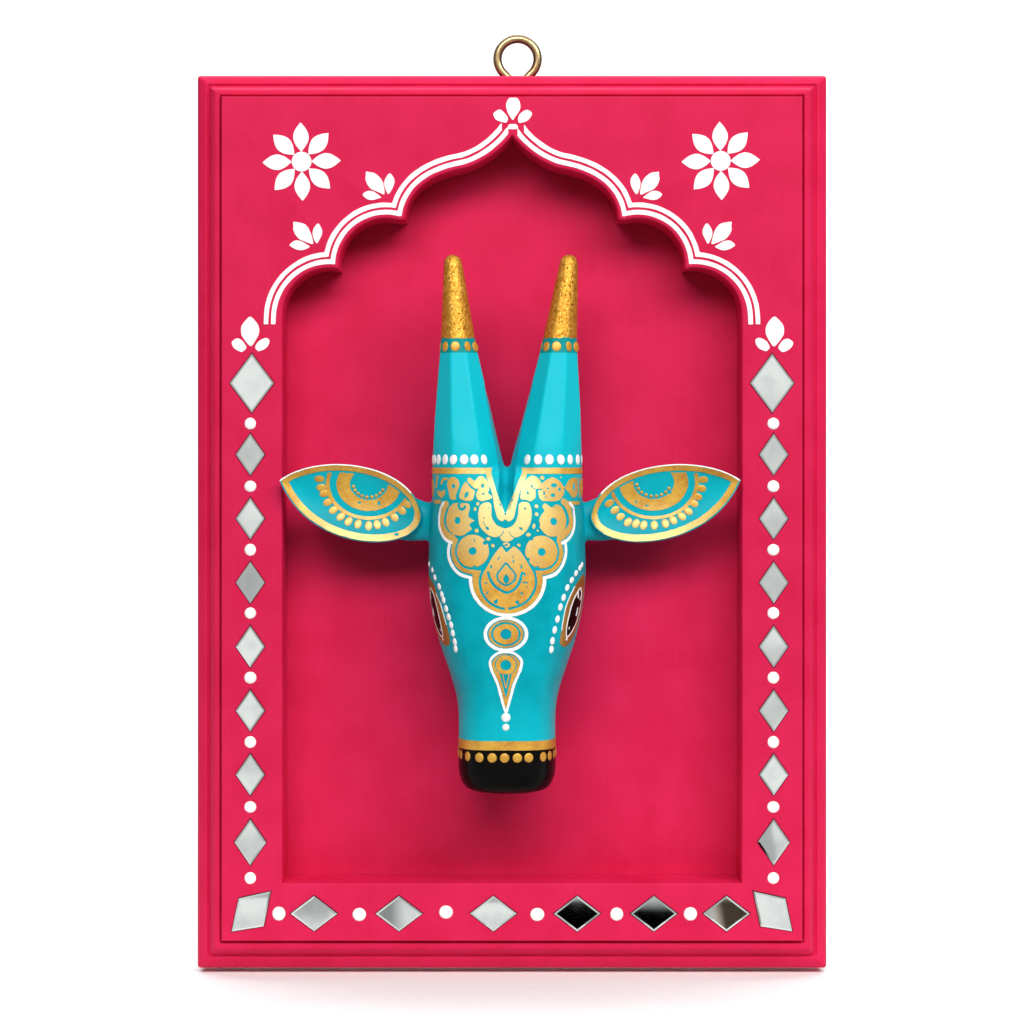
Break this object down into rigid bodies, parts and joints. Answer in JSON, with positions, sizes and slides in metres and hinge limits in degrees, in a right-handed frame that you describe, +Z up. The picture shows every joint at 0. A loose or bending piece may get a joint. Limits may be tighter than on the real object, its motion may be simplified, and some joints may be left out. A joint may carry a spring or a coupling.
{
  "type": "wall mask",
  "caption": "Carved and painted cow head with upright horns and leaf-shaped ears, fixed in a cusped-arch niche frame with inlaid diamond mirrors and a hanging ring.",
  "frame": {"origin": "inside top of the hanging ring, where a nail bears", "axes": "+Z up along the frame's height, -Y towards the viewer, +Y towards the wall, +X to the viewer's right"},
  "size_m": [0.215, 0.0514, 0.3198],
  "materials": {
    "pink_paint": "hand-painted satin, fine brush marks over wood grain",
    "teal_paint": "hand-painted satin with gold and white ornament",
    "aged_brass": "antique, polished on the high spots",
    "mirror_glass": "polished, bevelled edges"
  },
  "bodies": {
    "root": {"frame": "pink_paint", "back_panel": "pink_paint", "cow_head": "teal_paint", "screw_eye": "aged_brass", "mirror_left_large": "mirror_glass", "mirror_left_1": "mirror_glass", "mirror_left_2": "mirror_glass", "mirror_left_3": "mirror_glass", "mirror_left_4": "mirror_glass", "mirror_left_5": "mirror_glass", "mirror_left_6": "mirror_glass", "mirror_left_7": "mirror_glass", "mirror_left_corner": "mirror_glass", "mirror_right_large": "mirror_glass", "mirror_right_1": "mirror_glass", "mirror_right_2": "mirror_glass", "mirror_right_3": "mirror_glass", "mirror_right_4": "mirror_glass", "mirror_right_5": "mirror_glass", "mirror_right_6": "mirror_glass", "mirror_right_7": "mirror_glass", "mirror_right_corner": "mirror_glass", "mirror_bottom_1": "mirror_glass", "mirror_bottom_2": "mirror_glass", "mirror_bottom_3": "mirror_glass", "mirror_bottom_4": "mirror_glass", "mirror_bottom_5": "mirror_glass", "mirror_bottom_6": "mirror_glass"}
  },
  "joints": []
}
